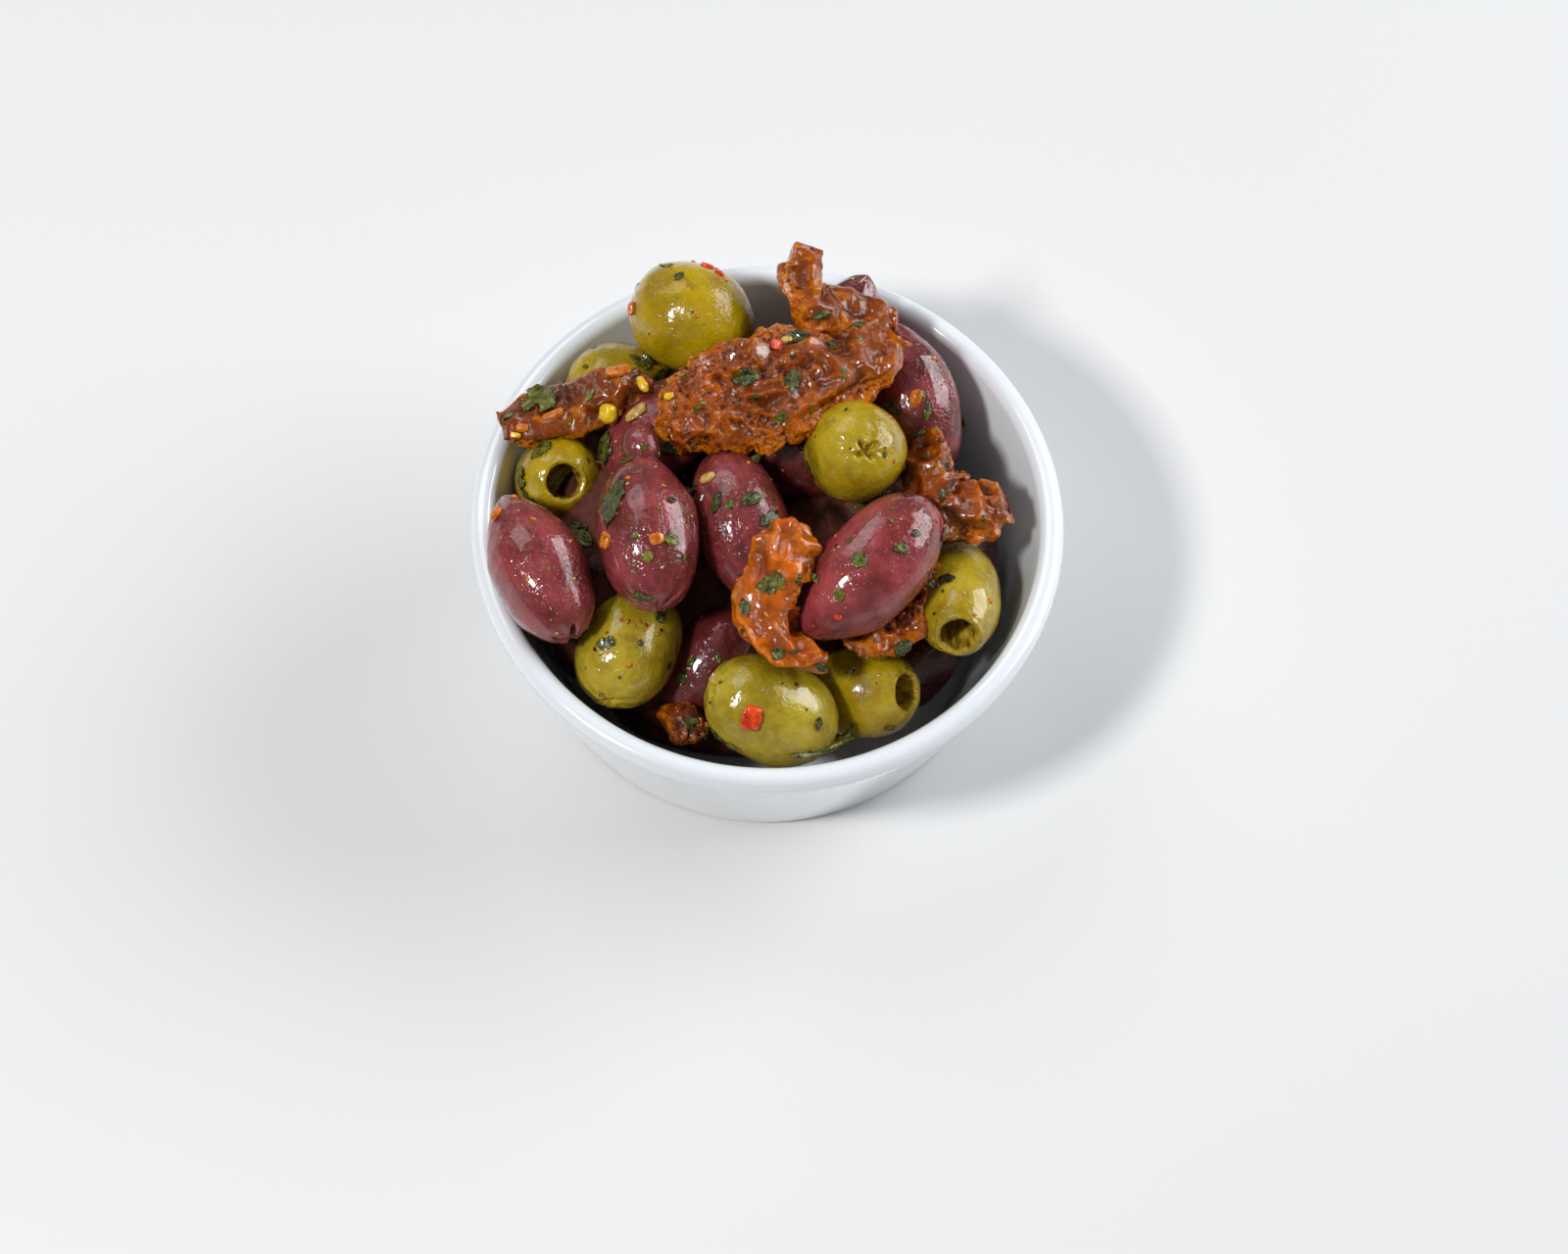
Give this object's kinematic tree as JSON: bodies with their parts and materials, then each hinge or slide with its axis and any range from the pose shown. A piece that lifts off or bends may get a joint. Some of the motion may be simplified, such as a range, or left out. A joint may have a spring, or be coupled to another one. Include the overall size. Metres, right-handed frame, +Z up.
{
  "type": "bowl of olives",
  "caption": "Small white glazed bowl heaped with oiled green and purple olives, sun-dried tomato and chopped herbs, for a table or buffet.",
  "frame": {"origin": "centre of the bowl's base, on the surface it stands on", "axes": "+Z up; -Y is the side that the picture looks from, and +X is to its right"},
  "size_m": [0.11, 0.11, 0.0636],
  "materials": {
    "glaze": "gloss white glaze",
    "olive_skin": "oiled olive skin, green on some olives and purple on the others",
    "tomato": "oiled wrinkled sun-dried tomato"
  },
  "bodies": {
    "root": {"bowl": "glaze", "olives": "olive_skin", "tomato_fold": "tomato", "tomato_tip": "tomato", "tomato_strip": "tomato", "tomato_lobes": "tomato", "tomato_twist": "tomato", "tomato_curl": "tomato"}
  },
  "joints": []
}
